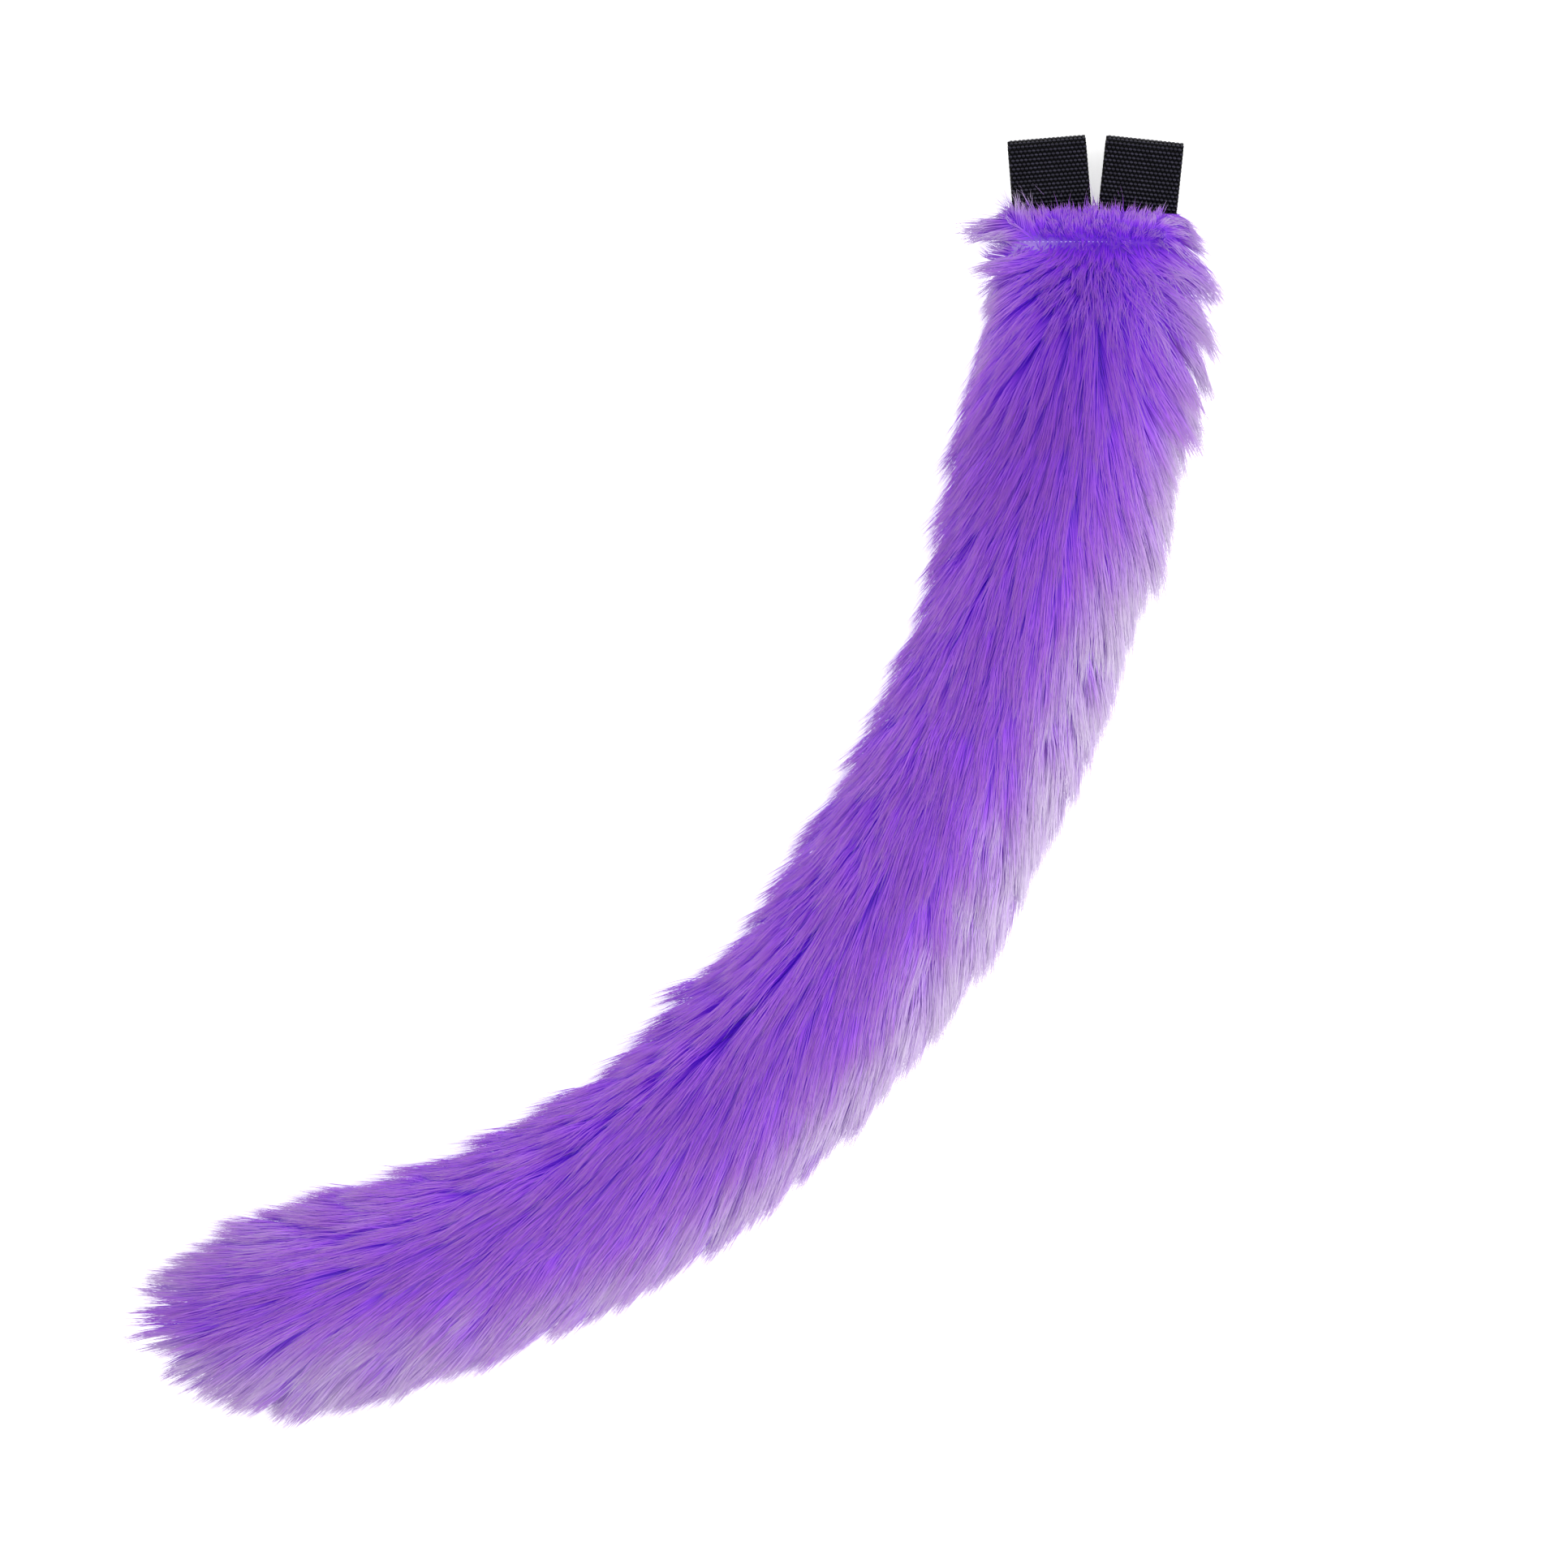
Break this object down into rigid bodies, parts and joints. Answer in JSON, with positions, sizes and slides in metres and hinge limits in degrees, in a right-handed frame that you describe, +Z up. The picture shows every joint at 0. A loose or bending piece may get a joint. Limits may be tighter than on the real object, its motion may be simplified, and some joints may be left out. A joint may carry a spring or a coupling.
{
  "type": "costume animal tail",
  "caption": "Long stuffed tail of deep-pile faux fur lying in a bend, with webbing belt loops sewn into its flat hem.",
  "frame": {"origin": "on the floor, under the middle of the outline of the tail as it lies", "axes": "+Z up from the floor; +Y towards the belt loops at the hem; the tip curls towards -X"},
  "size_m": [0.3674, 0.4232, 0.0434],
  "materials": {
    "fur": "deep-pile faux fur, violet with paler tips",
    "webbing": "woven polypropylene webbing, near black"
  },
  "bodies": {
    "root": {"fur_sleeve": "fur", "belt_loop_left": "webbing", "belt_loop_right": "webbing"}
  },
  "joints": []
}
